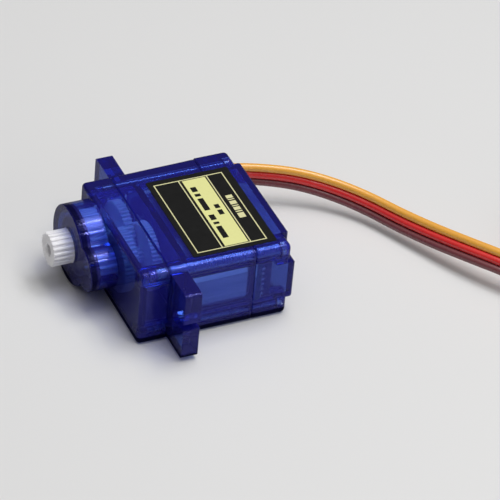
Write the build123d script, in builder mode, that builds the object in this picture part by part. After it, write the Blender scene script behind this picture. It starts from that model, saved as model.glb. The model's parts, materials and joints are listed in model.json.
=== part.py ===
"""A 9 gram class hobby servo motor, lying on one of its two large sides.

Frame: the output shaft turns about the Y axis and its splined end points to -Y. The origin is on
that axis, in the plane of the round boss's front face. +X runs from the shaft towards the motor's
end of the case, and +Z is up, out of the large side that carries the label. All sizes are in
millimetres. A level is a distance behind the boss's front face, measured along +Y.
"""

from build123d import *
import math
import os

os.makedirs("parts", exist_ok=True)

# ---------------------------------------------------------------- driving dimensions
# Case
FAR_END = -5.9  # end face beside the output shaft
MIDDLE_FAR_END = -6.2  # the same face at the back of the middle case, which widens backwards
COVER_FAR_END = -6.4  # the bottom cover's end face, where the lead comes out
NEAR_END = 16.8  # end face beside the motor
HALF_DEPTH = 6.1  # half of the distance between the two large sides
WALL = 0.9
CORNER = 0.8  # rounding of the four long edges
INNER_CORNER = 0.6
GEARBOX_FRONT = 4.0  # level of the flat face that the bosses stand on
CASE_SPLIT = 8.3  # level where the top case meets the middle case
SEAM = 0.03  # gap between two parts of the case
SEAM_CHAMFER = 0.15
EAR_BACK = 10.8
FLOOR_BACK = 11.8  # level behind the plate between the gears and the motor
COVER_SPLIT = 21.3  # level where the middle case meets the bottom cover
RECESS = 26.6  # level of the screw recesses in the bottom cover
RECESS_RIM = 0.7  # rounding of the bottom cover's rim at the recesses
BASE = 27.4  # level of the bottom cover's outer face
BASE_WALL = 0.9
BOSS_WALL = 1.6

# Mounting ears
EAR_REACH = 5.2  # how far an ear stands out of its end face
EAR_HALF_DEPTH = 5.5
EAR_CORNER = 0.4
EAR_HOLE_SPACING = 27.8
EAR_HOLE_RADIUS = 1.1
EAR_SLIT = 1.1

# Case screws
SCREW_INSET = 1.55
SCREW_RADIUS = 0.55
SCREW_HOLE_RADIUS = 0.6
SCREW_PILOT_RADIUS = 0.5  # of the holes in the top case that the threads cut into
SCREW_HEAD_RADIUS = 1.0
SCREW_HEAD_HEIGHT = 0.8
SCREW_SEAT = 25.3  # level under the heads, which are sunk in the bottom cover
COUNTERBORE_RADIUS = 1.1
SCREW_TIP = 5.9
POST_RADIUS = 1.25
RECESS_RADIUS = 1.45

# Shafts, all parallel to Y and in the plane Z = 0
OUTPUT_X = 0.0
IDLER_X = 5.6
MOTOR_X = 10.91
BOSS_RADIUS = 5.9
SMALL_BOSS_RADIUS = 3.3
IDLER_PIN_RADIUS = 0.5
POT_SHAFT_RADIUS = 0.7
MOTOR_SHAFT_RADIUS = 0.4
RUNNING_GAP = 0.05  # radial clearance of a shaft in its bore
PRESS = 0.02  # radial overlap of the idler pin in its seats

# Gear train: module, driving teeth and driven teeth of each stage
STAGE_1 = (0.18, 9, 50)  # motor pinion and first wheel
STAGE_2 = (0.2, 11, 45)  # first pinion and second wheel
STAGE_3 = (0.2, 14, 42)  # second pinion and third wheel
STAGE_4 = (0.28, 9, 31)  # third pinion and output wheel
PRESSURE_ANGLE = math.radians(20)
ADDENDUM = 0.85  # tooth height outside the pitch circle, in modules
DEDENDUM = 1.2  # tooth depth inside the pitch circle, in modules
BACKLASH = 0.04  # taken off each tooth at the pitch circle

# Output spline
SPLINE_TIP = -3.0
SPLINE_TEETH = 21
SPLINE_ROOT = 2.28
SPLINE_TOP = 2.5
JOURNAL_RADIUS = 2.55
HORN_SCREW_RADIUS = 0.85
HORN_SCREW_END = 1.4

# Motor
CAN_RADIUS = 4.9
CAN_FLAT = 4.45  # distance of the can's two flats from its axis
CAN_WALL = 0.3
CAN_FRONT = 11.9
CAN_BACK = 20.6

# Feedback potentiometer
POT_RADIUS = 4.6
POT_FRONT = 11.9
POT_BACK = 16.2
POT_PINS = (-2.0, 0.0, 2.0)

# Circuit board
BOARD_FRONT = 21.9
BOARD_BACK = 22.7

# Lead: three wires bonded side by side into a ribbon
WIRE_DIAMETER = 1.2
WIRE_PITCH = 1.2
WIRES = ("orange", "red", "brown")
# The middle wire's route, and how far the ribbon leans there from standing on its edge, in degrees
LEAD_ROUTE = [
    (-3.3, 23.4, 0.0, 0),
    (-6.6, 23.5, -0.1, 0),
    (-9.3, 26.4, -0.6, 0),
    (-9.0, 30.3, -1.0, 2),
    (-7.8, 34.2, -1.3, 4),
    (-6.0, 38.4, -1.7, 8),
    (-3.3, 42.7, -2.5, 13),
    (0.8, 46.6, -3.1, 18),
    (6.0, 49.5, -3.2, 24),
    (11.8, 52.6, -2.7, 30),
    (17.4, 55.8, -2.0, 34),
    (22.6, 59.4, -1.7, 30),
    (26.8, 62.4, -3.0, 14),
    (30.2, 65.2, -4.25, 0),
]
COIL_CENTRE = (21.5, 77.3)
COIL_RADIUS = 15.0  # of the outermost turn's middle
COIL_TURNS = 2.1
COIL_PITCH = 1.3
TABLE = -HALF_DEPTH  # height of the surface that the servo lies on

# Connector on the end of the lead: three sockets in a row, standing on edge
SOCKET_PITCH = 2.54
CONNECTOR_LENGTH = 14.0

MIDDLE_FRONT = CASE_SPLIT + SEAM
COVER_FRONT = COVER_SPLIT + SEAM
MIDDLE_X = (FAR_END + NEAR_END) / 2
LENGTH = NEAR_END - FAR_END
SCREW_POINTS = [
    (x, z)
    for x in (FAR_END + SCREW_INSET, NEAR_END - SCREW_INSET)
    for z in (HALF_DEPTH - SCREW_INSET, SCREW_INSET - HALF_DEPTH)
]


# ---------------------------------------------------------------- shared helpers
def across(level):
    """The plane square to the shafts at a level. What is extruded from it grows towards -Y."""
    return Plane.XZ.offset(-level)


def disc(x, radius, front, back, mode=Mode.ADD, z=0.0):
    """A round boss, or a round hole, about an axis parallel to the shafts."""
    with BuildSketch(across(back)) as outline:
        with Locations((x, z)):
            Circle(radius)
    extrude(outline.sketch, amount=back - front, mode=mode)


def slab(x, z, front, back, mode=Mode.ADD, rounding=0.0):
    """A block between two levels. x and z are its lowest and highest values."""
    with BuildSketch(across(back)) as outline:
        with Locations(((x[0] + x[1]) / 2, (z[0] + z[1]) / 2)):
            if rounding:
                RectangleRounded(x[1] - x[0], z[1] - z[0], rounding)
            else:
                Rectangle(x[1] - x[0], z[1] - z[0])
    extrude(outline.sketch, amount=back - front, mode=mode)


def case_block(front, back, far_end=FAR_END):
    """A straight piece of the outside of the case between two levels."""
    slab((far_end, NEAR_END), (-HALF_DEPTH, HALF_DEPTH), front, back, rounding=CORNER)


def case_hollow(front, back, post_radius=POST_RADIUS):
    """The inside of the case between two levels, leaving the four screw posts standing."""
    with BuildSketch(across(back)) as hollow:
        with Locations((MIDDLE_X, 0)):
            RectangleRounded(LENGTH - 2 * WALL, 2 * (HALF_DEPTH - WALL), INNER_CORNER)
        with Locations(*SCREW_POINTS):
            Circle(post_radius, mode=Mode.SUBTRACT)
    extrude(hollow.sketch, amount=back - front, mode=Mode.SUBTRACT)


def screw_holes(radius, front, back):
    """The four case screws' holes between two levels."""
    for x, z in SCREW_POINTS:
        disc(x, radius, front, back, Mode.SUBTRACT, z)


def involute_angle(radius, base_radius):
    """The angle that an involute has turned through between its base circle and a radius."""
    if radius <= base_radius:
        return 0.0
    tangent = math.sqrt((radius / base_radius) ** 2 - 1)
    return tangent - math.atan(tangent)


def wheel_outline(x, module, teeth, phase):
    """The corners of an involute toothed wheel's outline, with one tooth's middle at phase."""
    pitch_radius = module * teeth / 2
    base_radius = pitch_radius * math.cos(PRESSURE_ANGLE)
    root_radius = pitch_radius - DEDENDUM * module
    tip_radius = pitch_radius + ADDENDUM * module
    half_tooth = (math.pi * module / 2 - BACKLASH) / (2 * pitch_radius)
    half_base = half_tooth + involute_angle(pitch_radius, base_radius)
    radii = sorted({root_radius, max(root_radius, base_radius), pitch_radius, tip_radius})
    flank = [(radius, half_base - involute_angle(radius, base_radius)) for radius in radii]
    corners = []
    for tooth in range(teeth):
        middle = phase + tooth * math.tau / teeth
        sides = [(radius, middle - angle) for radius, angle in flank]
        sides += [(radius, middle + angle) for radius, angle in reversed(flank)]
        corners += [(x + radius * math.cos(a), radius * math.sin(a)) for radius, a in sides]
    return corners


def wheel(x, module, teeth, phase, front, back):
    """A toothed wheel about an axis parallel to the shafts."""
    with BuildSketch(across(back)) as outline:
        with BuildLine():
            Polyline(*wheel_outline(x, module, teeth, phase), close=True)
        make_face()
    extrude(outline.sketch, amount=back - front)


def gap_phase(teeth, towards):
    """The phase that puts the middle of a gap between teeth in the direction towards."""
    return towards + math.pi / teeth


def write(builder, name):
    """Label a finished piece and write it to its own file."""
    builder.part.label = name
    export_step(builder.part, f"parts/{name}.step")


# ---------------------------------------------------------------- case
with BuildPart() as top_case:
    case_block(GEARBOX_FRONT, CASE_SPLIT)
    fillet(top_case.edges().group_by(Axis.Y)[0], radius=0.6)
    chamfer(top_case.edges().group_by(Axis.Y)[-1], SEAM_CHAMFER)
    disc(OUTPUT_X, BOSS_RADIUS, 0, GEARBOX_FRONT + 1)
    disc(IDLER_X, SMALL_BOSS_RADIUS, 0, GEARBOX_FRONT + 1)
    fillet(top_case.edges().group_by(Axis.Y)[0], radius=0.25)
    disc(OUTPUT_X, BOSS_RADIUS - WALL - 0.05, BOSS_WALL, 5.1, Mode.SUBTRACT)
    disc(IDLER_X, SMALL_BOSS_RADIUS - WALL, BOSS_WALL, 5.1, Mode.SUBTRACT)
    case_hollow(5.1, CASE_SPLIT)
    disc(OUTPUT_X, JOURNAL_RADIUS + RUNNING_GAP, 0, BOSS_WALL, Mode.SUBTRACT)
    disc(IDLER_X, IDLER_PIN_RADIUS - PRESS, 0.7, BOSS_WALL, Mode.SUBTRACT)
    screw_holes(SCREW_PILOT_RADIUS, SCREW_TIP - 0.3, CASE_SPLIT)
write(top_case, "top_case")

with BuildPart() as middle_case:
    with BuildSketch(Plane.XY.offset(-HALF_DEPTH)) as middle_plan:
        with BuildLine():
            near_side = ((NEAR_END, MIDDLE_FRONT), (NEAR_END, COVER_SPLIT))
            Polyline((FAR_END, MIDDLE_FRONT), *near_side, (MIDDLE_FAR_END, COVER_SPLIT), close=True)
        make_face()
    extrude(middle_plan.sketch, amount=2 * HALF_DEPTH)
    fillet(middle_case.edges().filter_by(lambda edge: abs((edge % 0.5).Y) > 0.9), radius=CORNER)
    chamfer(middle_case.edges().group_by(Axis.Y)[0], SEAM_CHAMFER)
    chamfer(middle_case.edges().group_by(Axis.Y)[-1], SEAM_CHAMFER)
    ear_span = (FAR_END - EAR_REACH, NEAR_END + EAR_REACH)
    slab(ear_span, (-EAR_HALF_DEPTH, EAR_HALF_DEPTH), MIDDLE_FRONT, EAR_BACK, rounding=EAR_CORNER)
    case_hollow(MIDDLE_FRONT, EAR_BACK)
    case_hollow(FLOOR_BACK, COVER_SPLIT)
    disc(MOTOR_X, CAN_RADIUS + 0.1, FLOOR_BACK, COVER_SPLIT, Mode.SUBTRACT)
    disc(MOTOR_X, 2.05, EAR_BACK, FLOOR_BACK, Mode.SUBTRACT)
    disc(OUTPUT_X, 2.05, EAR_BACK, FLOOR_BACK, Mode.SUBTRACT)
    disc(IDLER_X, IDLER_PIN_RADIUS - PRESS, EAR_BACK, FLOOR_BACK - 0.2, Mode.SUBTRACT)
    screw_holes(SCREW_HOLE_RADIUS, MIDDLE_FRONT, COVER_SPLIT)
    for side in (-1, 1):
        hole_x = MIDDLE_X + side * EAR_HOLE_SPACING / 2
        slit_x = sorted((hole_x, MIDDLE_X + side * (LENGTH / 2 + EAR_REACH + 1)))
        disc(hole_x, EAR_HOLE_RADIUS, MIDDLE_FRONT, EAR_BACK, Mode.SUBTRACT)
        slab(slit_x, (-EAR_SLIT / 2, EAR_SLIT / 2), MIDDLE_FRONT, EAR_BACK, Mode.SUBTRACT)
write(middle_case, "middle_case")

with BuildPart() as raised_middle:
    case_block(SCREW_SEAT, BASE, COVER_FAR_END)
    for screw_x, screw_z in SCREW_POINTS:
        corner_x = sorted((screw_x, math.copysign(LENGTH, screw_x)))
        corner_z = sorted((screw_z, math.copysign(LENGTH, screw_z)))
        across_x = (screw_x - RECESS_RADIUS, screw_x + RECESS_RADIUS)
        across_z = (screw_z - RECESS_RADIUS, screw_z + RECESS_RADIUS)
        disc(screw_x, RECESS_RADIUS, SCREW_SEAT, BASE, Mode.SUBTRACT, screw_z)
        slab(corner_x, across_z, SCREW_SEAT, BASE, Mode.SUBTRACT)
        slab(across_x, corner_z, SCREW_SEAT, BASE, Mode.SUBTRACT)
        slab(corner_x, corner_z, SCREW_SEAT, BASE, Mode.SUBTRACT)
    fillet(raised_middle.edges().group_by(Axis.Y)[-1], radius=0.5)

with BuildPart() as bottom_cover:
    case_block(COVER_FRONT, RECESS, COVER_FAR_END)
    fillet(bottom_cover.edges().group_by(Axis.Y)[-1], radius=RECESS_RIM)
    chamfer(bottom_cover.edges().group_by(Axis.Y)[0], SEAM_CHAMFER)
    add(raised_middle.part)
    case_hollow(COVER_FRONT, SCREW_SEAT - 0.6)
    case_hollow(SCREW_SEAT - 0.6, BASE - BASE_WALL, RECESS_RADIUS + 0.65)
    screw_holes(SCREW_HOLE_RADIUS, COVER_FRONT, SCREW_SEAT)
    screw_holes(COUNTERBORE_RADIUS, SCREW_SEAT, RECESS)
    slab((COVER_FAR_END - 1, FAR_END + 1.2), (-1.9, 1.9), COVER_FRONT, 24.3, Mode.SUBTRACT)
write(bottom_cover, "bottom_cover")

with BuildPart() as case_screws:
    for screw_x, screw_z in SCREW_POINTS:
        disc(screw_x, SCREW_RADIUS, SCREW_TIP + 0.8, SCREW_SEAT, z=screw_z)
        disc(screw_x, SCREW_HEAD_RADIUS, SCREW_SEAT, SCREW_SEAT + SCREW_HEAD_HEIGHT, z=screw_z)
        with Locations(Location((screw_x, SCREW_TIP + 0.4, screw_z), (-90, 0, 0))):
            Cone(0.15, SCREW_RADIUS, 0.8)
    fillet(case_screws.edges().group_by(Axis.Y)[-1], radius=0.3)
    for screw_x, screw_z in SCREW_POINTS:
        for arm in ((0.65, 0.13), (0.13, 0.65)):
            cross_x = (screw_x - arm[0], screw_x + arm[0])
            cross_z = (screw_z - arm[1], screw_z + arm[1])
            slab(cross_x, cross_z, SCREW_SEAT + 0.3, SCREW_SEAT + 1, Mode.SUBTRACT)
write(case_screws, "case_screws")

with BuildPart() as label:
    with BuildSketch(Plane.XY.offset(HALF_DEPTH + 0.01)):
        with Locations(((-2.6 + 15.2) / 2, (12.4 + 25.0) / 2)):
            RectangleRounded(17.8, 12.6, 0.3)
    extrude(amount=0.07)
write(label, "label")

# ---------------------------------------------------------------- gear train
TO_NEAR = 0.0  # direction from the output shaft to the idler pin, and on to the motor
TO_FAR = math.pi

with BuildPart() as motor_pinion:
    wheel(MOTOR_X, STAGE_1[0], STAGE_1[1], TO_FAR, 8.8, 10.4)
    disc(MOTOR_X, MOTOR_SHAFT_RADIUS, 8.8, 10.4, Mode.SUBTRACT)
write(motor_pinion, "motor_pinion")

with BuildPart() as first_gear:
    wheel(IDLER_X, STAGE_1[0], STAGE_1[2], gap_phase(STAGE_1[2], TO_NEAR), 8.75, 10.1)
    wheel(IDLER_X, STAGE_2[0], STAGE_2[1], TO_FAR, 7.15, 8.75)
    disc(IDLER_X, 1.0, 10.1, 10.6)
    disc(IDLER_X, IDLER_PIN_RADIUS + RUNNING_GAP, 7, 11, Mode.SUBTRACT)
write(first_gear, "first_gear")

with BuildPart() as second_gear:
    wheel(OUTPUT_X, STAGE_2[0], STAGE_2[2], gap_phase(STAGE_2[2], TO_NEAR), 7.2, 8.5)
    wheel(OUTPUT_X, STAGE_3[0], STAGE_3[1], TO_NEAR, 5.5, 7.2)
    disc(OUTPUT_X, POT_SHAFT_RADIUS + RUNNING_GAP, 5, 9, Mode.SUBTRACT)
write(second_gear, "second_gear")

with BuildPart() as third_gear:
    wheel(IDLER_X, STAGE_3[0], STAGE_3[2], gap_phase(STAGE_3[2], TO_FAR), 5.5, 6.9)
    wheel(IDLER_X, STAGE_4[0], STAGE_4[1], TO_FAR, 1.9, 5.5)
    disc(IDLER_X, IDLER_PIN_RADIUS + RUNNING_GAP, 1, 8, Mode.SUBTRACT)
write(third_gear, "third_gear")

with BuildPart() as output_gear:
    wheel(OUTPUT_X, STAGE_4[0], STAGE_4[2], gap_phase(STAGE_4[2], TO_NEAR), 1.9, 4.3)
    disc(OUTPUT_X, 1.5, 4.3, 5.3)
    disc(OUTPUT_X, JOURNAL_RADIUS, 0.05, 1.9)
    with BuildSketch(across(0.05)) as spline:
        Circle(SPLINE_ROOT)
        with PolarLocations(0, SPLINE_TEETH):
            Polygon((2.2, -0.22), (SPLINE_TOP, -0.1), (SPLINE_TOP, 0.1), (2.2, 0.22), align=None)
    extrude(spline.sketch, amount=0.05 - SPLINE_TIP)
    disc(OUTPUT_X, HORN_SCREW_RADIUS, SPLINE_TIP, HORN_SCREW_END, Mode.SUBTRACT)
    tip_circles = output_gear.edges().group_by(Axis.Y)[0].filter_by(GeomType.CIRCLE)
    chamfer(tip_circles.sort_by(SortBy.RADIUS)[0], 0.2)
    with BuildSketch(across(5.3)) as socket:
        Circle(POT_SHAFT_RADIUS)
        with Locations((0, POT_SHAFT_RADIUS)):
            Rectangle(2, 0.5, mode=Mode.SUBTRACT)
    extrude(socket.sketch, amount=2.7, mode=Mode.SUBTRACT)
write(output_gear, "output_gear")

with BuildPart() as idler_pin:
    disc(IDLER_X, IDLER_PIN_RADIUS, 0.7, 11.6)
write(idler_pin, "idler_pin")

# ---------------------------------------------------------------- feedback potentiometer
with BuildPart() as pot_shaft:
    disc(OUTPUT_X, POT_SHAFT_RADIUS, 5.3, 15.0)
    disc(OUTPUT_X, 0.8, 8.6, 10.75)
    with BuildSketch(across(5.3)) as flatted:
        Circle(POT_SHAFT_RADIUS)
        with Locations((0, POT_SHAFT_RADIUS)):
            Rectangle(2, 0.5, mode=Mode.SUBTRACT)
    extrude(flatted.sketch, amount=2.7)
write(pot_shaft, "pot_shaft")

with BuildPart() as pot_body:
    disc(OUTPUT_X, POT_RADIUS, POT_FRONT, POT_BACK - 0.6)
    disc(OUTPUT_X, 2.0, 10.9, POT_FRONT)
    disc(OUTPUT_X, POT_RADIUS - 0.5, POT_FRONT + 0.6, POT_BACK - 0.6, Mode.SUBTRACT)
    disc(OUTPUT_X, POT_SHAFT_RADIUS + RUNNING_GAP, 10.9, POT_FRONT + 0.6, Mode.SUBTRACT)
write(pot_body, "pot_body")

with BuildPart() as pot_backplate:
    disc(OUTPUT_X, POT_RADIUS, POT_BACK - 0.6, POT_BACK)
    slab((-2.8, 2.8), (-5.0, -3.2), POT_BACK - 0.6, POT_BACK)
write(pot_backplate, "pot_backplate")

with BuildPart() as pot_track:
    disc(OUTPUT_X, 3.7, POT_BACK - 0.75, POT_BACK - 0.6)
    disc(OUTPUT_X, 2.4, POT_BACK - 1, POT_BACK, Mode.SUBTRACT)
    slab((-1.0, 1.0), (-5, -1), POT_BACK - 1, POT_BACK, Mode.SUBTRACT)
write(pot_track, "pot_track")

with BuildPart() as pot_wiper:
    disc(OUTPUT_X, 1.5, 14.6, 14.9)
    slab((-0.5, 0.5), (1.0, 3.4), 14.6, 14.9)
    with Locations((0, 15.05, 3.1)):
        Sphere(0.3)
    disc(OUTPUT_X, POT_SHAFT_RADIUS, 14, 16, Mode.SUBTRACT)
write(pot_wiper, "pot_wiper")

with BuildPart() as pot_terminals:
    for pin_x in POT_PINS:
        slab((pin_x - 0.4, pin_x + 0.4), (-4.8, -4.5), POT_BACK, POT_BACK + 1.6)
write(pot_terminals, "pot_terminals")

with BuildPart() as pot_wires:
    for pin_x in POT_PINS:
        disc(pin_x, 0.3, POT_BACK + 0.9, BOARD_FRONT, z=-4.2)
write(pot_wires, "pot_wires")

# ---------------------------------------------------------------- motor
with BuildPart() as motor_can:
    for shrink, front, mode in ((0, CAN_FRONT, Mode.ADD), (CAN_WALL, CAN_FRONT + 0.5, Mode.SUBTRACT)):
        with BuildSketch(across(CAN_BACK)) as round_can:
            with Locations((MOTOR_X, 0)):
                Circle(CAN_RADIUS - shrink)
                Rectangle(2 * (CAN_FLAT - shrink), 12, mode=Mode.INTERSECT)
        extrude(round_can.sketch, amount=CAN_BACK - front, mode=mode)
    disc(MOTOR_X, 2.0, 10.9, CAN_FRONT)
    disc(MOTOR_X, 1.2, 10, 13, Mode.SUBTRACT)
write(motor_can, "motor_can")

with BuildPart() as motor_end_cap:
    with BuildSketch(across(21.2)) as cap:
        with Locations((MOTOR_X, 0)):
            Circle(CAN_RADIUS - CAN_WALL)
            Rectangle(2 * (CAN_FLAT - CAN_WALL), 12, mode=Mode.INTERSECT)
    extrude(cap.sketch, amount=21.2 - 20.0)
    disc(MOTOR_X, 1.9, 21.2, 21.6)
    disc(MOTOR_X, 1.2, 20, 22, Mode.SUBTRACT)
    for slot_z in (-3.4, 3.4):
        slot = (slot_z - 0.6, slot_z + 0.6)
        slab((MOTOR_X - 0.15, MOTOR_X + 0.15), slot, 20, 22, Mode.SUBTRACT)
write(motor_end_cap, "motor_end_cap")

with BuildPart() as motor_bushes:
    for front, back in ((10.9, 12.4), (20.3, 21.6)):
        disc(MOTOR_X, 1.2, front, back)
        disc(MOTOR_X, MOTOR_SHAFT_RADIUS + 0.04, front, back, Mode.SUBTRACT)
write(motor_bushes, "motor_bushes")

with BuildPart() as motor_magnets:
    with BuildSketch(across(19.0)) as arcs:
        with Locations((MOTOR_X, 0)):
            Circle(CAN_RADIUS - CAN_WALL)
            Circle(3.65, mode=Mode.SUBTRACT)
            Rectangle(5.4, 12, mode=Mode.INTERSECT)
    extrude(arcs.sketch, amount=6.0)
write(motor_magnets, "motor_magnets")

with BuildPart() as motor_shaft:
    disc(MOTOR_X, MOTOR_SHAFT_RADIUS, 8.7, 21.5)
    disc(MOTOR_X, 0.7, 12.6, 12.9)
write(motor_shaft, "motor_shaft")

with BuildPart() as armature_core:
    with BuildSketch(across(18.2)) as lamination:
        with Locations((MOTOR_X, 0)):
            Circle(3.35)
            Circle(2.6, mode=Mode.SUBTRACT)
            with PolarLocations(3.0, 3, start_angle=60):
                Rectangle(2.0, 0.7, mode=Mode.SUBTRACT)
            with PolarLocations(1.5, 3):
                Rectangle(2.6, 1.0)
            Circle(1.0)
            Circle(MOTOR_SHAFT_RADIUS, mode=Mode.SUBTRACT)
    extrude(lamination.sketch, amount=4.4)
write(armature_core, "armature_core")

with BuildPart() as armature_windings:
    with BuildSketch(across(18.8)) as turns:
        with Locations((MOTOR_X, 0)):
            with PolarLocations(1.75, 3):
                RectangleRounded(1.2, 2.4, 0.3)
    extrude(turns.sketch, amount=5.6)
    with BuildSketch(across(18.2)) as tooth_space:
        with Locations((MOTOR_X, 0)):
            with PolarLocations(1.5, 3):
                Rectangle(2.6, 1.0)
    extrude(tooth_space.sketch, amount=4.4, mode=Mode.SUBTRACT)
write(armature_windings, "armature_windings")

with BuildPart() as commutator:
    disc(MOTOR_X, 0.95, 18.9, 20.1)
    disc(MOTOR_X, MOTOR_SHAFT_RADIUS, 18, 21, Mode.SUBTRACT)
    with BuildSketch(across(20.1)) as cuts:
        with Locations((MOTOR_X, 0)):
            with PolarLocations(0.95, 3):
                Rectangle(0.4, 0.12)
    extrude(cuts.sketch, amount=1.2, mode=Mode.SUBTRACT)
write(commutator, "commutator")

with BuildPart() as motor_brushes:
    for side in (-1, 1):
        reach = sorted((MOTOR_X + side * 1.05, MOTOR_X + side * 1.3))
        slab(reach, (-0.4, 3.9 * 0.9), 19.3, 19.9)
        slab(reach, (3.1, 3.5), 19.3, 20.0)
write(motor_brushes, "motor_brushes")

with BuildPart() as motor_terminals:
    for slot_z in (-3.4, 3.4):
        tab = (slot_z - 0.6, slot_z + 0.6)
        slab((MOTOR_X - 0.15, MOTOR_X + 0.15), tab, 20.1, 23.5)
write(motor_terminals, "motor_terminals")

# ---------------------------------------------------------------- electronics
with BuildPart() as circuit_board:
    slab((-4.6, 15.6), (-4.9, 4.9), BOARD_FRONT, BOARD_BACK, rounding=0.4)
    screw_holes(POST_RADIUS + 0.15, BOARD_FRONT, BOARD_BACK)
    for slot_z in (-3.4, 3.4):
        slot_x = (MOTOR_X - 0.2, MOTOR_X + 0.2)
        slab(slot_x, (slot_z - 0.65, slot_z + 0.65), BOARD_FRONT, BOARD_BACK, Mode.SUBTRACT)
write(circuit_board, "circuit_board")

CHIP_FRONT = BOARD_BACK + 0.15
CHIPS = {"control_chip": ((12.3, 14.9), (-3.2, 2.4), 24.6), "driver_chip": ((4.2, 7.8), (-2.5, 2.5), 24.0)}
CHIP_LEAD_PITCH = 0.9

for chip_name, (chip_x, chip_z, chip_back) in CHIPS.items():
    with BuildPart() as chip:
        slab(chip_x, chip_z, CHIP_FRONT, chip_back)
        chamfer(chip.edges().group_by(Axis.Y)[-1], 0.15)
    write(chip, chip_name)

with BuildPart() as chip_leads:
    for chip_x, chip_z, chip_back in CHIPS.values():
        lead_count = int((chip_z[1] - chip_z[0]) / CHIP_LEAD_PITCH)
        first_z = (sum(chip_z) - (lead_count - 1) * CHIP_LEAD_PITCH) / 2
        for edge_x, outward in zip(chip_x, (-1, 1)):
            shoulder = sorted((edge_x, edge_x + outward * 0.3))
            foot = sorted((edge_x + outward * 0.15, edge_x + outward * 0.5))
            for lead in range(lead_count):
                lead_z = first_z + lead * CHIP_LEAD_PITCH
                width = (lead_z - 0.17, lead_z + 0.17)
                slab(shoulder, width, BOARD_BACK + 0.15, BOARD_BACK + 0.65)
                slab(foot, width, BOARD_BACK, BOARD_BACK + 0.2)
write(chip_leads, "chip_leads")

with BuildPart() as capacitors:
    for part_x, part_z in ((9.4, 0.0), (1.6, -2.6), (9.2, -3.4)):
        slab((part_x - 0.6, part_x + 0.6), (part_z - 1.0, part_z + 1.0), BOARD_BACK, BOARD_BACK + 1.1)
    fillet(capacitors.edges().filter_by(Axis.Y), radius=0.15)
write(capacitors, "capacitors")

with BuildPart() as resistors:
    for part_x, part_z in ((1.4, 0.6), (1.4, 2.2), (1.4, 3.8), (8.6, 3.9), (4.4, 3.9), (6.5, 3.9)):
        slab((part_x - 0.8, part_x + 0.8), (part_z - 0.4, part_z + 0.4), BOARD_BACK, BOARD_BACK + 0.45)
write(resistors, "resistors")

with BuildPart() as solder_joints:
    joints = [(MOTOR_X, z, 0.85) for z in (-3.4, 3.4)] + [(x, -4.2, 0.5) for x in POT_PINS]
    for joint_x, joint_z, joint_radius in joints:
        with Locations(Location((joint_x, BOARD_BACK, joint_z), (-90, 0, 0))):
            Sphere(joint_radius, arc_size1=0, align=(Align.CENTER, Align.CENTER, Align.MIN))
    with Locations([(MOTOR_X, BOARD_BACK + 0.4, z) for z in (-3.4, 3.4)]):
        Box(0.3, 1.6, 1.2, mode=Mode.SUBTRACT)
write(solder_joints, "solder_joints")

# ---------------------------------------------------------------- lead
RIBBON_HEIGHT = len(WIRES) * WIRE_PITCH
COIL_START = math.atan2(LEAD_ROUTE[-1][1] - COIL_CENTRE[1], LEAD_ROUTE[-1][0] - COIL_CENTRE[0])
COIL_END = COIL_START + COIL_TURNS * math.tau
COIL_INNER = COIL_RADIUS - COIL_TURNS * COIL_PITCH
CONNECTOR_FRAME = Plane(
    origin=(*COIL_CENTRE, TABLE),
    x_dir=(-math.cos(COIL_END), -math.sin(COIL_END), 0),
    z_dir=(0, 0, 1),
)
# The middle wire's way from the coil's inner turn into the connector, in the connector's frame,
# and how far the three wires have spread there from the ribbon's pitch to the sockets' pitch
TAIL_ROUTE = [
    (-COIL_INNER, 0.0, 0.0),
    (-12.0, -2.4, 0.1),
    (-10.9, -4.5, 0.4),
    (-8.9, -5.8, 0.8),
    (-6.6, -6.0, 1.0),
]


def wire_height(wire):
    """A wire's place in the ribbon: -1 for the lowest, 1 for the highest."""
    return 1 - WIRES.index(wire)


def lead_points(wire):
    """The route of one wire of the ribbon, from the circuit board to the coil."""
    points = []
    for index, (x, y, z, lean) in enumerate(LEAD_ROUTE):
        before = LEAD_ROUTE[max(index - 1, 0)]
        after = LEAD_ROUTE[min(index + 1, len(LEAD_ROUTE) - 1)]
        heading = math.atan2(after[1] - before[1], after[0] - before[0])
        offset = wire_height(wire) * WIRE_PITCH
        sideways = offset * math.sin(math.radians(lean))
        upward = offset * math.cos(math.radians(lean))
        points.append((x - sideways * math.sin(heading), y + sideways * math.cos(heading), z + upward))
    return points


def tail_points(wire):
    """The route of one wire from the coil to its socket."""
    low = RIBBON_HEIGHT / 2 + wire_height(wire) * WIRE_PITCH
    high = (wire_height(wire) + 1.5) * SOCKET_PITCH
    return [
        CONNECTOR_FRAME.from_local_coords((x, y, low + spread * (high - low)))
        for x, y, spread in TAIL_ROUTE
    ]


def corner_radii(points):
    """The radius of each corner of a route: as large as its two runs allow."""
    vectors = [Vector(*point) for point in points]
    radii = []
    for before, corner, after in zip(vectors, vectors[1:], vectors[2:]):
        turn = math.radians((corner - before).get_angle(after - corner))
        shorter = min((corner - before).length, (after - corner).length)
        radii.append(0.45 * shorter / math.tan(turn / 2))
    return radii


for wire in WIRES:
    for stretch, points in (("lead", lead_points(wire)), ("tail", tail_points(wire))):
        radii = corner_radii(points)
        with BuildPart() as tube:
            with BuildLine() as path:
                FilletPolyline(*points, radius=radii)
            with BuildSketch(Plane(origin=path.line @ 0, z_dir=path.line % 0)):
                Circle(WIRE_DIAMETER / 2)
            sweep()
        write(tube, f"{stretch}_wire_{wire}")
        length = sum(edge.length for edge in path.edges())
        expected = math.pi * WIRE_DIAMETER**2 / 4 * length
        print(f"{stretch} {wire}: length {length:.1f}, tightest {min(radii):.1f},", end=" ")
        print(f"volume {tube.part.volume:.2f} of {expected:.2f}, radii {[round(r, 1) for r in radii]}")

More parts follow.
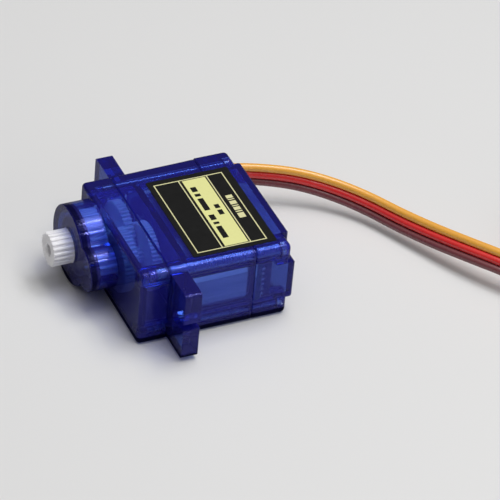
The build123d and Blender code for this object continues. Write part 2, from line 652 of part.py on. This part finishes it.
with BuildPart() as lead_coil:
    with BuildSketch(Plane.XY.offset(TABLE)):
        with Locations(COIL_CENTRE):
            Circle(COIL_RADIUS + WIRE_DIAMETER / 2)
            Circle(COIL_INNER - WIRE_DIAMETER / 2, mode=Mode.SUBTRACT)
    extrude(amount=RIBBON_HEIGHT)
write(lead_coil, "lead_coil")

CONNECTOR_REAR = TAIL_ROUTE[-1][0]
CONNECTOR_Y = TAIL_ROUTE[-1][1]
SOCKET_HEIGHTS = [(socket + 0.5) * SOCKET_PITCH for socket in range(len(WIRES))]
CORNERED = (Align.MIN, Align.CENTER, Align.CENTER)

with BuildPart(CONNECTOR_FRAME) as connector_housing:
    with Locations((CONNECTOR_REAR, CONNECTOR_Y, SOCKET_HEIGHTS[1])):
        Box(CONNECTOR_LENGTH, SOCKET_PITCH, 3 * SOCKET_PITCH, align=CORNERED)
    chamfer(connector_housing.edges(), 0.2)
    for height in SOCKET_HEIGHTS:
        with Locations((CONNECTOR_REAR, CONNECTOR_Y, height)):
            Box(CONNECTOR_LENGTH - 1.2, 1.9, 1.9, align=CORNERED, mode=Mode.SUBTRACT)
            Box(CONNECTOR_LENGTH, 0.9, 0.9, align=CORNERED, mode=Mode.SUBTRACT)
        with Locations((CONNECTOR_REAR + 6.0, CONNECTOR_Y + SOCKET_PITCH / 2, height)):
            Box(1.8, 1.0, 1.3, align=CORNERED, mode=Mode.SUBTRACT)
write(connector_housing, "connector_housing")

for wire, height in zip(reversed(WIRES), SOCKET_HEIGHTS):
    with BuildPart(CONNECTOR_FRAME) as terminal:
        with Locations(Location((CONNECTOR_REAR, CONNECTOR_Y, height), (0, 90, 0))):
            Cylinder(0.8, 4.5, align=(Align.CENTER, Align.CENTER, Align.MIN))
        with Locations((CONNECTOR_REAR + 4.0, CONNECTOR_Y, height)):
            Box(CONNECTOR_LENGTH - 5.6, 1.7, 1.7, align=CORNERED)
        with Locations((CONNECTOR_REAR + 6.5, CONNECTOR_Y, height)):
            Box(8.0, 1.0, 1.0, align=CORNERED, mode=Mode.SUBTRACT)
    write(terminal, f"terminal_{wire}")
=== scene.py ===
"""Looks for a small hobby servo: translucent blue case, printed label, bonded three-wire lead.

Sizes and places are in millimetres in the CAD's frame, and become metres where MM multiplies them.
Only the lights and Subsurface_Scale are given in metres.
"""

import json
import math

import bpy
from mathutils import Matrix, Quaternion, Vector


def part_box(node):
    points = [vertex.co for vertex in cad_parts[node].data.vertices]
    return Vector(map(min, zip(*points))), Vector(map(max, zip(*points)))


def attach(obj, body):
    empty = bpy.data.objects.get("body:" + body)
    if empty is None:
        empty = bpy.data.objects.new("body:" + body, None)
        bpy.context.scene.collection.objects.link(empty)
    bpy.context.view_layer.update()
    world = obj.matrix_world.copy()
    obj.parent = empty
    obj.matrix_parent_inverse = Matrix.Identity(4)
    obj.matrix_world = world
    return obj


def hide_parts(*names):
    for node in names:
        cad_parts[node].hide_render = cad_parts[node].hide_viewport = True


MM = 0.001

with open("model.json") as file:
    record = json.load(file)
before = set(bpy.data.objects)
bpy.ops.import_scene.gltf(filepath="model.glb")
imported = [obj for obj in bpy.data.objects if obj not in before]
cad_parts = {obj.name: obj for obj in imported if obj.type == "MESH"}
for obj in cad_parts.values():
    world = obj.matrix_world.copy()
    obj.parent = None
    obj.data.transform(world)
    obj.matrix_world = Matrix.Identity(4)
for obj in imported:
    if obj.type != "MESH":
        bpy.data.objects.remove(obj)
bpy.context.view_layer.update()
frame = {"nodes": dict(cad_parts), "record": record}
NODES = frame["nodes"]


# ---------------------------------------------------------------- camera
CAMERA_PLACE = (353.8, -153.8, 305.9)
CAMERA_AIM = (9.04, 24.04, 0.0)
CAMERA_ROLL = 5.61  # in degrees
FOCAL_LENGTH = 252
SENSOR_WIDTH = 36
NEAREST_SEEN = 20

camera = bpy.data.objects.new("camera", bpy.data.cameras.new("camera"))
bpy.context.scene.collection.objects.link(camera)
bpy.context.scene.camera = camera
camera.data.lens = FOCAL_LENGTH
camera.data.sensor_width = SENSOR_WIDTH
camera.data.clip_start = NEAREST_SEEN * MM
camera.rotation_mode = "QUATERNION"
camera.location = Vector(CAMERA_PLACE) * MM
aim = (Vector(CAMERA_AIM) * MM - camera.location).to_track_quat("-Z", "Y")
camera.rotation_quaternion = aim @ Quaternion((0, 0, 1), math.radians(CAMERA_ROLL))


# ---------------------------------------------------------------- lead
WIRES = ("orange", "red", "brown")
WIRE_DIAMETER = 1.2
WIRE_PITCH = 1.2
SOCKET_PITCH = 2.54
# The middle wire's route, and how far the ribbon leans there from standing on its
# edge, in degrees
LEAD_ROUTE = [
    (-3.3, 23.4, 0.0, 0),
    (-6.6, 23.5, -0.1, 0),
    (-9.3, 26.4, -0.6, 0),
    (-9.0, 30.3, -1.0, 2),
    (-7.8, 34.2, -1.3, 4),
    (-6.0, 38.4, -1.7, 8),
    (-3.3, 42.7, -2.5, 13),
    (0.8, 46.6, -3.1, 18),
    (6.0, 49.5, -3.2, 24),
    (11.8, 52.6, -2.7, 30),
    (17.4, 55.8, -2.0, 34),
    (22.6, 59.4, -1.7, 30),
    (26.8, 62.4, -3.0, 14),
    (30.2, 65.2, -4.25, 0),
]
COIL_CENTRE = (21.5, 77.3)
COIL_RADIUS = 15.0  # of the outermost turn's middle
COIL_TURNS = 2.1
COIL_PITCH = 1.3
COIL_STEPS = 32
TABLE = -6.1  # height of the surface that the servo lies on
RIBBON_MIDDLE = TABLE + 1.5 * WIRE_PITCH
# The middle wire's way into the connector, seen from the coil's centre along the connector, and
# how far the wires have spread there from the ribbon's pitch to the sockets' pitch
TAIL_ROUTE = [
    (-12.0, -2.4, 0.1),
    (-10.9, -4.5, 0.4),
    (-8.9, -5.8, 0.8),
    (-6.6, -6.0, 1.0),
]
COIL_START = math.atan2(LEAD_ROUTE[-1][1] - COIL_CENTRE[1], LEAD_ROUTE[-1][0] - COIL_CENTRE[0])
COIL_END = COIL_START + COIL_TURNS * math.tau


def wire_height(wire):
    """A wire's place in the ribbon: -1 for the lowest, 1 for the highest."""
    return 1 - WIRES.index(wire)


def lead_points(wire):
    """One wire's route from the circuit board to the coil."""
    points = []
    for index, (x, y, z, lean) in enumerate(LEAD_ROUTE):
        before = LEAD_ROUTE[max(index - 1, 0)]
        after = LEAD_ROUTE[min(index + 1, len(LEAD_ROUTE) - 1)]
        heading = math.atan2(after[1] - before[1], after[0] - before[0])
        offset = wire_height(wire) * WIRE_PITCH
        sideways = offset * math.sin(math.radians(lean))
        upward = offset * math.cos(math.radians(lean))
        points.append((x - sideways * math.sin(heading), y + sideways * math.cos(heading), z + upward))
    return points


def coil_points(wire):
    """The coil's turns, each inside the one before."""
    points = []
    for step in range(1, COIL_STEPS + 1):
        share = step / COIL_STEPS
        angle = COIL_START + share * COIL_TURNS * math.tau
        radius = COIL_RADIUS - share * COIL_TURNS * COIL_PITCH
        x = COIL_CENTRE[0] + radius * math.cos(angle)
        y = COIL_CENTRE[1] + radius * math.sin(angle)
        points.append((x, y, RIBBON_MIDDLE + wire_height(wire) * WIRE_PITCH))
    return points


def tail_points(wire):
    """One wire's route from the coil to its socket."""
    low = RIBBON_MIDDLE + wire_height(wire) * WIRE_PITCH
    high = TABLE + (wire_height(wire) + 1.5) * SOCKET_PITCH
    along = (-math.cos(COIL_END), -math.sin(COIL_END))
    points = []
    for forward, left, spread in TAIL_ROUTE:
        x = COIL_CENTRE[0] + forward * along[0] - left * along[1]
        y = COIL_CENTRE[1] + forward * along[1] + left * along[0]
        points.append((x, y, low + spread * (high - low)))
    return points


def wire_curve(name, points):
    """A round wire on one smooth line."""
    curve = bpy.data.curves.new(name, "CURVE")
    curve.dimensions = "3D"
    curve.bevel_depth = WIRE_DIAMETER * MM / 2
    curve.bevel_resolution = 8
    curve.resolution_u = 8
    curve.use_fill_caps = True
    spline = curve.splines.new("NURBS")
    spline.points.add(len(points) - 1)
    for point, place in zip(spline.points, points):
        point.co = (*(Vector(place) * MM), 1)
    spline.order_u = 3
    spline.use_endpoint_u = True
    wire = bpy.data.objects.new(name, curve)
    bpy.context.scene.collection.objects.link(wire)
    return wire


# ---------------------------------------------------------------- materials
class Finish:
    """A node material built around one Principled shader."""

    def __init__(self, name, **values):
        self.material = bpy.data.materials.new(name)
        self.material.use_nodes = True
        self.nodes = self.material.node_tree.nodes
        self.shader = self.nodes["Principled BSDF"]
        coordinates = self.add("ShaderNodeTexCoord")
        self.place = coordinates.outputs["Object"]
        self.normal = coordinates.outputs["Normal"]
        for socket, value in values.items():
            self.shader.inputs[socket.replace("_", " ")].default_value = value

    def add(self, kind, **inputs):
        """A new node with some of its inputs linked or set."""
        node = self.nodes.new(kind)
        for socket, value in inputs.items():
            self.set(node.inputs[socket.replace("_", " ")], value)
        return node

    def set(self, socket, value):
        """Link an input to another node's output, or give it a constant."""
        if isinstance(value, bpy.types.NodeSocket):
            self.material.node_tree.links.new(value, socket)
        else:
            socket.default_value = value

    def plain(self, kind, colour):
        """A shader of one colour."""
        return self.add(kind, Color=(*colour, 1)).outputs[0]

    def mix(self, share, first, second):
        """The first shader, with a share of the second in it."""
        node = self.nodes.new("ShaderNodeMixShader")
        for socket, value in zip(node.inputs, (share, first, second)):
            self.set(socket, value)
        return node.outputs[0]

    def math(self, operation, first, second):
        """One sum on two values."""
        node = self.nodes.new("ShaderNodeMath")
        node.operation = operation
        self.set(node.inputs[0], first)
        self.set(node.inputs[1], second)
        return node.outputs[0]

    def noise(self, size, detail=4.0, stretch=(1, 1, 1)):
        """Noise whose features are about size across, as a value from 0 to 1."""
        scaled = self.add("ShaderNodeMapping", Vector=self.place, Scale=stretch)
        texture = self.add("ShaderNodeTexNoise", Vector=scaled.outputs[0], Detail=detail)
        texture.inputs["Scale"].default_value = 1 / (size * MM)
        return texture.outputs["Fac"]

    def spread(self, value, low, high, start=0.3, end=0.7):
        """The value's range from start to end, mapped to low and high."""
        node = self.add("ShaderNodeMapRange", Value=value)
        for socket, number in (("From Min", start), ("From Max", end), ("To Min", low), ("To Max", high)):
            node.inputs[socket].default_value = number
        return node.outputs[0]

    def blend(self, value, first, second):
        """A colour between two others."""
        node = self.nodes.new("ShaderNodeMix")
        node.data_type = "RGBA"
        self.set(node.inputs[0], value)
        self.set(node.inputs[6], (*first, 1))
        self.set(node.inputs[7], (*second, 1))
        return node.outputs[2]

    def bump(self, height, depth):
        """Surface relief of a given depth on the Principled shader."""
        node = self.add("ShaderNodeBump", Height=height, Strength=1.0, Distance=depth * MM)
        self.set(self.shader.inputs["Normal"], node.outputs[0])


def mottled(name, colour, other, size, rough, bump=0.0, stretch=(1, 1, 1), **values):
    """A finish whose colour, roughness and surface vary a little from place to place."""
    finish = Finish(name, **values)
    noise = finish.noise(size, stretch=stretch)
    finish.set(finish.shader.inputs["Base Color"], finish.blend(noise, colour, other))
    finish.set(finish.shader.inputs["Roughness"], finish.spread(noise, *rough))
    if bump:
        finish.bump(finish.noise(size * 0.6, stretch=stretch), bump)
    return finish.material


# Translucent blue plastic
CLEAR_COLOUR = (0.84, 0.92, 1.0)
REFLECTION_TINT = (0.30, 0.32, 0.90)
DEPTH_COLOUR = (0.08, 0.34, 0.84)
DEPTH_DENSITY = 1000
CLOUD_COLOUR = (0.09, 0.08, 0.90)
CLOUD_SHARE = 0.12
SHADOW_TINT = (0.46, 0.52, 0.63)  # what each surface lets through to a shadow
# Painted shade: a near-black colour is mixed into the plastic where it is seen edge on, on the boss's lip
# and along the case's foot
PAINTED_SHADE_COLOUR = (0.002, 0.002, 0.012)
EDGE_ON_SHADE_POWER = 2.2
# Painted contact shadow: the plastic is darkened near the table
FOOT_SHADE_STRENGTH = 0.94
FOOT_SHADE_HEIGHTS = (-5.0, -4.75)  # the heights between which the painted shade along the case's foot fades; it stands in for the contact shadow on the table
# Painted shade on the band round the boss's front face
LIP_SHADE_STRENGTH = 0.8
LIP_SHADE_LEVELS = (0.85, 1.0)  # the levels behind the boss's front face between which the painted shade on its lip fades
FRONT_FACING = (-0.6, -0.4)  # a surface whose normal's Y is below these is the boss's face, not its lip


def painted_shade_share(finish):
    """How much painted shade the plastic gets: where it is seen edge on, at the boss's lip and at the
    foot.
    """
    # Painted shade where the plastic is seen edge on
    slope = finish.add("ShaderNodeLayerWeight", Blend=0.5)
    edge_on_shade = finish.math("POWER", slope.outputs["Facing"], EDGE_ON_SHADE_POWER)
    place = finish.add("ShaderNodeSeparateXYZ", Vector=finish.place)
    normal = finish.add("ShaderNodeSeparateXYZ", Vector=finish.normal)
    # Painted contact shadow: the plastic darkens towards the table
    foot = finish.spread(place.outputs["Z"], FOOT_SHADE_STRENGTH, 0.0, FOOT_SHADE_HEIGHTS[0] * MM, FOOT_SHADE_HEIGHTS[1] * MM)
    # Painted shade on the boss's lip
    lip = finish.spread(place.outputs["Y"], LIP_SHADE_STRENGTH, 0.0, LIP_SHADE_LEVELS[0] * MM, LIP_SHADE_LEVELS[1] * MM)
    sideways = finish.spread(normal.outputs["Y"], 0.0, 1.0, *FRONT_FACING)
    lip_side = finish.math("MULTIPLY", lip, sideways)
    return finish.math("MAXIMUM", edge_on_shade, finish.math("MAXIMUM", foot, lip_side))


def blue_case():
    """Glossy translucent blue plastic, with painted shade mixed in where it is seen edge on, at the boss's
    lip and along its foot. Light from the lamps comes through it, tinted.
    """
    finish = Finish("blue_case", Transmission_Weight=1.0, IOR=1.45, Base_Color=(*CLEAR_COLOUR, 1),
                    Specular_Tint=(*REFLECTION_TINT, 1))
    finish.set(finish.shader.inputs["Roughness"], finish.spread(finish.noise(1.5), 0.04, 0.07))
    finish.bump(finish.noise(5.0, detail=0.0), 0.001)
    cloud = finish.plain("ShaderNodeBsdfDiffuse", CLOUD_COLOUR)
    body = finish.mix(CLOUD_SHARE, finish.shader.outputs[0], cloud)
    # Painted shade, mixed in where the plastic is seen edge on, at the boss's lip and at the case's foot
    painted_shade = finish.plain("ShaderNodeBsdfDiffuse", PAINTED_SHADE_COLOUR)
    with_painted_shade = finish.mix(painted_shade_share(finish), body, painted_shade)
    through = finish.plain("ShaderNodeBsdfTransparent", SHADOW_TINT)
    ray = finish.add("ShaderNodeLightPath")
    surface = finish.mix(ray.outputs["Is Shadow Ray"], with_painted_shade, through)
    depth = finish.add("ShaderNodeVolumeAbsorption", Color=(*DEPTH_COLOUR, 1), Density=DEPTH_DENSITY)
    output = finish.nodes["Material Output"]
    finish.set(output.inputs["Surface"], surface)
    finish.set(output.inputs["Volume"], depth.outputs[0])
    return finish.material


# Each finish: two colours, the size of its mottling, its range of roughness, and the depth of its
# bumps if it has any
FINISHES = {
    "white_nylon": dict(colour=(0.86, 0.86, 0.85), other=(0.80, 0.80, 0.80), size=0.6, rough=(0.35, 0.5),
                        bump=0.01, Subsurface_Weight=0.25, Subsurface_Scale=0.0004),
    "splined_nylon": dict(colour=(0.88, 0.87, 0.89), other=(0.80, 0.79, 0.82), size=0.3, rough=(0.5, 0.65),
                          bump=0.01, Subsurface_Weight=0.7, Subsurface_Scale=0.0009,
                          Subsurface_Radius=(0.6, 0.6, 0.6)),
    "steel": dict(colour=(0.62, 0.63, 0.66), other=(0.52, 0.53, 0.56), size=0.5, rough=(0.15, 0.35),
                  bump=0.003, stretch=(4, 1, 4), Metallic=1.0),
    # The nickel's light and dark streaks along the can are partly a brushed finish and partly painted
    # highlight streaks
    "nickel": dict(colour=(1.0, 1.0, 1.0), other=(0.36, 0.38, 0.44), size=0.9, rough=(0.08, 0.22),
                   bump=0.03, stretch=(1, 0.03, 1), Metallic=0.5),
    "zinc": dict(colour=(0.30, 0.30, 0.33), other=(0.22, 0.22, 0.25), size=0.4, rough=(0.22, 0.38),
                 bump=0.003, Metallic=1.0),
    "brass": dict(colour=(0.72, 0.52, 0.22), other=(0.62, 0.43, 0.18), size=0.4, rough=(0.2, 0.4),
                  bump=0.003, Metallic=1.0),
    "copper": dict(colour=(0.72, 0.34, 0.18), other=(0.55, 0.22, 0.11), size=0.2, rough=(0.25, 0.45),
                   bump=0.01, Metallic=1.0),
    "bronze": dict(colour=(0.45, 0.30, 0.16), other=(0.34, 0.22, 0.12), size=0.15, rough=(0.4, 0.6),
                   bump=0.01, Metallic=1.0),
    "ferrite": dict(colour=(0.05, 0.05, 0.055), other=(0.09, 0.09, 0.095), size=0.2, rough=(0.5, 0.7),
                    bump=0.01),
    "black_plastic": dict(colour=(0.012, 0.012, 0.013), other=(0.022, 0.022, 0.024), size=0.15,
                          rough=(0.3, 0.5), bump=0.004),
    "green_board": dict(colour=(0.02, 0.12, 0.05), other=(0.01, 0.07, 0.03), size=0.5, rough=(0.3, 0.45),
                        bump=0.01),
    "brown_board": dict(colour=(0.30, 0.17, 0.07), other=(0.22, 0.12, 0.05), size=0.4, rough=(0.5, 0.7),
                        bump=0.01),
    "carbon": dict(colour=(0.02, 0.02, 0.02), other=(0.04, 0.04, 0.04), size=0.1, rough=(0.5, 0.7),
                   bump=0.002),
    "ceramic": dict(colour=(0.52, 0.40, 0.27), other=(0.44, 0.33, 0.21), size=0.3, rough=(0.35, 0.5),
                    bump=0.004),
    "solder": dict(colour=(0.66, 0.67, 0.70), other=(0.52, 0.53, 0.56), size=0.3, rough=(0.15, 0.35),
                   bump=0.01, Metallic=1.0),
    "label_film": dict(colour=(0.006, 0.006, 0.006), other=(0.010, 0.010, 0.010), size=0.9,
                       rough=(0.40, 0.48), bump=0.0005, Specular_IOR_Level=0.15),
    "label_ink": dict(colour=(0.72, 0.70, 0.38), other=(0.66, 0.64, 0.34), size=0.3, rough=(0.4, 0.55),
                      bump=0.001),
    "label_panel": dict(colour=(0.76, 0.76, 0.32), other=(0.71, 0.71, 0.29), size=0.5, rough=(0.4, 0.55),
                        bump=0.001),
    "table_top": dict(colour=(0.73, 0.73, 0.73), other=(0.72, 0.72, 0.72), size=60, rough=(0.45, 0.55)),
}
WIRE_COLOURS = {
    "orange": ((0.86, 0.42, 0.06), (0.82, 0.38, 0.05)),
    "red": ((0.72, 0.028, 0.028), (0.66, 0.024, 0.024)),
    "brown": ((0.19, 0.048, 0.056), (0.16, 0.042, 0.048)),
}
for wire, (colour, other) in WIRE_COLOURS.items():
    FINISHES[f"wire_{wire}"] = dict(colour=colour, other=other, size=1.5, rough=(0.20, 0.32), bump=0.01,
                                    Specular_IOR_Level=0.65)

MATERIALS = {name: mottled(name, **values) for name, values in FINISHES.items()}
MATERIALS["case_plastic"] = blue_case()

# Pieces whose surface looks different from the rest of their slot
OWN_FINISH = {
    "case_screws": "zinc",
    "motor_can": "nickel",
    "pot_body": "nickel",
    "output_gear": "splined_nylon",
}

for entry in frame["record"]["subparts"]:
    node = NODES[entry["node"]]
    finish_name = OWN_FINISH.get(entry["node"], entry["material_slot"])
    node.data.materials.clear()
    node.data.materials.append(MATERIALS[finish_name])


# ---------------------------------------------------------------- label
# x runs along the label's long side and y along the servo's shafts
LABEL_BASE = 6.11
LABEL_TOP = 6.165
LABEL_ROUNDING = 0.3
RIM_BEVEL = 0.012
PRINT_TOP = 6.18
PRINT_FRONT = 13.25
PRINT_BACK = 23.8
PRINT_FAR = -1.65
PRINT_NEAR = 14.4
RULE = 0.17
DIVIDERS = (17.05, 21.35)
PANEL_GAP = 0.3
PANEL_TOP = PRINT_TOP - 0.006
# Plain bars stand in for wording. Each row has its (y from, y to), and each bar its (x from, x to).
LONG_ROW = (18.0, 18.85)
LONG_BARS = ((0.4, 1.5), (2.0, 2.6), (3.1, 5.9), (7.0, 8.2), (8.7, 9.2), (9.7, 12.4))
SHORT_ROW = (19.65, 20.4)
SHORT_BARS = ((5.0, 5.9), (6.3, 7.4))
BOLD_ROW = (22.05, 23.05)
BOLD_BARS = ((3.6, 4.3), (4.5, 4.7), (4.95, 5.75), (6.0, 6.2), (6.4, 7.1), (7.3, 7.55), (7.8, 8.9))


def plate_ring(area, rounding, inset):
    """The outline of a plate at some distance in from its rim, as (x, y) points."""
    x0, x1, y0, y1 = area
    sweep = (0, 30, 60, 90) if rounding else (45,)
    reach = rounding - inset if rounding else -inset * math.sqrt(2)
    points = []
    for x, y, start in ((x1, y1, 0), (x0, y1, 90), (x0, y0, 180), (x1, y0, 270)):
        centre_x = x - math.copysign(rounding, x - (x0 + x1) / 2)
        centre_y = y - math.copysign(rounding, y - (y0 + y1) / 2)
        for degrees in sweep:
            angle = math.radians(start + degrees)
            points.append((centre_x + reach * math.cos(angle), centre_y + reach * math.sin(angle)))
    return points


def plates(name, areas, base, top, finish, rounding=0.0):
    """Thin flat plates with bevelled rims, each given as (x from, x to, y from, y to)."""
    edge = min(RIM_BEVEL, (top - base) / 2)
    corners, faces = [], []
    for area in areas:
        rings = []
        for inset, height in ((0, base), (0, top - edge), (edge, top)):
            ring = plate_ring(area, rounding, inset)
            rings.append(range(len(corners), len(corners) + len(ring)))
            corners += [Vector((x, y, height)) * MM for x, y in ring]
        for lower, upper in zip(rings, rings[1:]):
            for i in range(len(lower)):
                j = (i + 1) % len(lower)
                faces.append((lower[i], lower[j], upper[j], upper[i]))
        faces.append(tuple(rings[-1]))
        faces.append(tuple(reversed(rings[0])))
    mesh = bpy.data.meshes.new(name)
    mesh.from_pydata(corners, [], faces)
    mesh.materials.append(MATERIALS[finish])
    piece = bpy.data.objects.new(name, mesh)
    bpy.context.scene.collection.objects.link(piece)
    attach(piece, "case")
    return piece


def bars(spans, row):
    """The areas of one row of bars."""
    return [(*span, *row) for span in spans]


def label_rules():
    """The areas of the printed frame and of the lines that divide it."""
    far, near = PRINT_FAR + RULE, PRINT_NEAR - RULE
    front, back = PRINT_FRONT + RULE, PRINT_BACK - RULE
    border = [
        (PRINT_FAR, PRINT_NEAR, PRINT_FRONT, front),
        (PRINT_FAR, PRINT_NEAR, back, PRINT_BACK),
        (PRINT_FAR, far, front, back),
        (near, PRINT_NEAR, front, back),
    ]
    return border + [(far, near, y - RULE / 2, y + RULE / 2) for y in DIVIDERS]


film_low, film_high = (Vector(corner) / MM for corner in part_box("label"))
film_area = (film_low.x, film_high.x, film_low.y, film_high.y)
film = plates("label_sheet", [film_area], LABEL_BASE, LABEL_TOP, "label_film", LABEL_ROUNDING)
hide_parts("label")
plates("label_rules", label_rules(), LABEL_TOP, PRINT_TOP, "label_ink")
panel_x = (PRINT_FAR + PANEL_GAP, PRINT_NEAR - PANEL_GAP)
panel_y = (DIVIDERS[0] + PANEL_GAP + RULE, DIVIDERS[1] - PANEL_GAP)
plates("label_panel", [(*panel_x, *panel_y)], LABEL_TOP, PANEL_TOP, "label_panel")
dark_bars = bars(LONG_BARS, LONG_ROW) + bars(SHORT_BARS, SHORT_ROW)
plates("label_dark_bars", dark_bars, PANEL_TOP, PRINT_TOP, "label_film")
plates("label_light_bars", bars(BOLD_BARS, BOLD_ROW), LABEL_TOP, PRINT_TOP, "label_ink")


for wire in WIRES:
    piece = wire_curve(f"wire_{wire}", lead_points(wire) + coil_points(wire) + tail_points(wire))
    piece.data.materials.append(MATERIALS[f"wire_{wire}"])
    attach(piece, "case")
    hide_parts(f"lead_wire_{wire}", f"tail_wire_{wire}", "lead_coil")


# ---------------------------------------------------------------- table
TABLE_SIZE = 6000


def table():
    """A plain pale surface under the servo."""
    mesh = bpy.data.meshes.new("table")
    half, height = TABLE_SIZE * MM / 2, TABLE * MM
    corners = [(-half, -half, height), (half, -half, height), (half, half, height), (-half, half, height)]
    mesh.from_pydata(corners, [], [(0, 1, 2, 3)])
    mesh.materials.append(MATERIALS["table_top"])
    surface = bpy.data.objects.new("table", mesh)
    bpy.context.scene.collection.objects.link(surface)


table()


# ---------------------------------------------------------------- light
SERVO_MIDDLE = (0.005, 0.012, 0)
# Square soft boxes: place and side in metres, power in watts. The two glints put the bright streaks
# on the boss.
LAMPS = {
    "key": ((0.01, 0.12, 0.42), 0.25, 1.12),
    "high_glint": ((-0.014, 0.192, 0.568), 0.045, 0.19),
    "side_glint": ((0.264, 0.192, 0.504), 0.045, 0.19),
    "side": ((0.45, 0.22, 0.17), 0.3, 0.45),
}
SKY_COLOUR = (1.0, 0.99, 0.98)
SKY_DIM = 0.08
SKY_GLOW = 0.8
GLOW_STARTS = 0.55  # how high in the sky, from 0 at the horizon to 1 overhead


def area_light(name, place, size, power):
    """A square soft box that faces the servo."""
    data = bpy.data.lights.new(name, "AREA")
    data.size = size
    data.energy = power
    light = bpy.data.objects.new(name, data)
    light.location = place
    light.rotation_mode = "QUATERNION"
    light.rotation_quaternion = (Vector(SERVO_MIDDLE) - Vector(place)).to_track_quat("-Z", "Y")
    bpy.context.scene.collection.objects.link(light)


def sky():
    """A dim room with a soft glow overhead."""
    world = bpy.data.worlds.new("world")
    world.use_nodes = True
    nodes, links = world.node_tree.nodes, world.node_tree.links
    direction = nodes.new("ShaderNodeTexCoord")
    parts = nodes.new("ShaderNodeSeparateXYZ")
    glow = nodes.new("ShaderNodeMapRange")
    glow.interpolation_type = "SMOOTHSTEP"
    ranges = (("From Min", GLOW_STARTS), ("From Max", 1.0), ("To Min", SKY_DIM), ("To Max", SKY_GLOW))
    for socket, number in ranges:
        glow.inputs[socket].default_value = number
    links.new(direction.outputs["Generated"], parts.inputs[0])
    links.new(parts.outputs["Z"], glow.inputs["Value"])
    links.new(glow.outputs[0], nodes["Background"].inputs["Strength"])
    nodes["Background"].inputs["Color"].default_value = (*SKY_COLOUR, 1)
    return world


for name, (place, size, power) in LAMPS.items():
    area_light(name, place, size, power)
bpy.context.scene.world = sky()
bpy.context.scene.view_settings.view_transform = "Standard"
